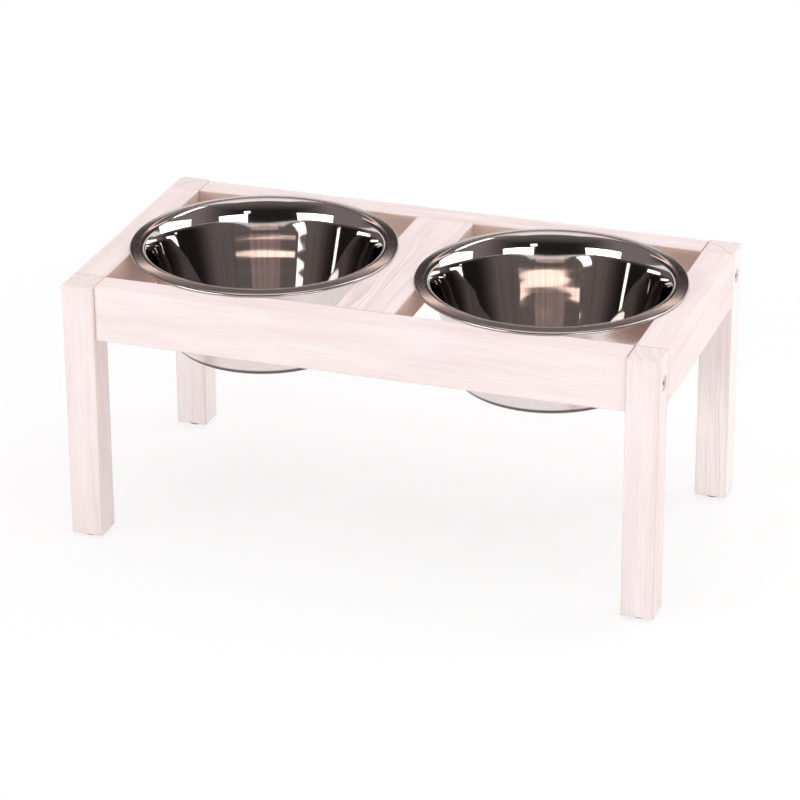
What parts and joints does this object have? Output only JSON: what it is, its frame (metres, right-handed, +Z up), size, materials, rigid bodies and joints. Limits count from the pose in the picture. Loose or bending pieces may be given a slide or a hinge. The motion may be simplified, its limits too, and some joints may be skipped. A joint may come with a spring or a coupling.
{
  "type": "dog feeder stand",
  "caption": "Raised dog feeder: a whitewashed pine stand with square legs, bolted rails and round feet, holding stainless bowls by their rims in square openings.",
  "frame": {"origin": "on the floor under the centre of the stand", "axes": "+X along the stand's length, to the right as seen from the front; +Y from the front to the back; +Z up"},
  "size_m": [0.5, 0.26, 0.2299],
  "materials": {
    "whitewashed_pine": "thin pale whitewash over planed pine, grain showing, matt",
    "stainless_steel": "pressed sheet, mirror polished inside and on the rim",
    "black_rubber": "moulded, matt",
    "zinc_plated_steel": "bright zinc plating",
    "beech": "plain turned dowel"
  },
  "bodies": {
    "stand": {"leg_front_left": "whitewashed_pine", "leg_front_right": "whitewashed_pine", "leg_back_left": "whitewashed_pine", "leg_back_right": "whitewashed_pine", "side_rail_left": "whitewashed_pine", "side_rail_right": "whitewashed_pine", "front_rail": "whitewashed_pine", "back_rail": "whitewashed_pine", "middle_rail": "whitewashed_pine", "foot_front_left": "black_rubber", "foot_front_right": "black_rubber", "foot_back_left": "black_rubber", "foot_back_right": "black_rubber", "frame_bolt_front_left": "zinc_plated_steel", "frame_bolt_front_right": "zinc_plated_steel", "frame_bolt_back_left": "zinc_plated_steel", "frame_bolt_back_right": "zinc_plated_steel", "barrel_nut_front_left": "zinc_plated_steel", "barrel_nut_front_right": "zinc_plated_steel", "barrel_nut_back_left": "zinc_plated_steel", "barrel_nut_back_right": "zinc_plated_steel", "rail_dowels_front_left": "beech", "rail_dowels_front_right": "beech", "rail_dowels_back_left": "beech", "rail_dowels_back_right": "beech", "side_dowels_front_left": "beech", "side_dowels_front_right": "beech", "side_dowels_back_left": "beech", "side_dowels_back_right": "beech", "middle_dowels_front": "beech", "middle_dowels_back": "beech"},
    "bowl_left": {"bowl_left": "stainless_steel"},
    "bowl_right": {"bowl_right": "stainless_steel"}
  },
  "joints": [
    {"name": "bowl_left_lift", "type": "slide", "parent": "stand", "child": "bowl_left", "axis": [0, 0, 1], "range_m": [0, 0.1]},
    {"name": "bowl_right_lift", "type": "slide", "parent": "stand", "child": "bowl_right", "axis": [0, 0, 1], "range_m": [0, 0.1]}
  ]
}
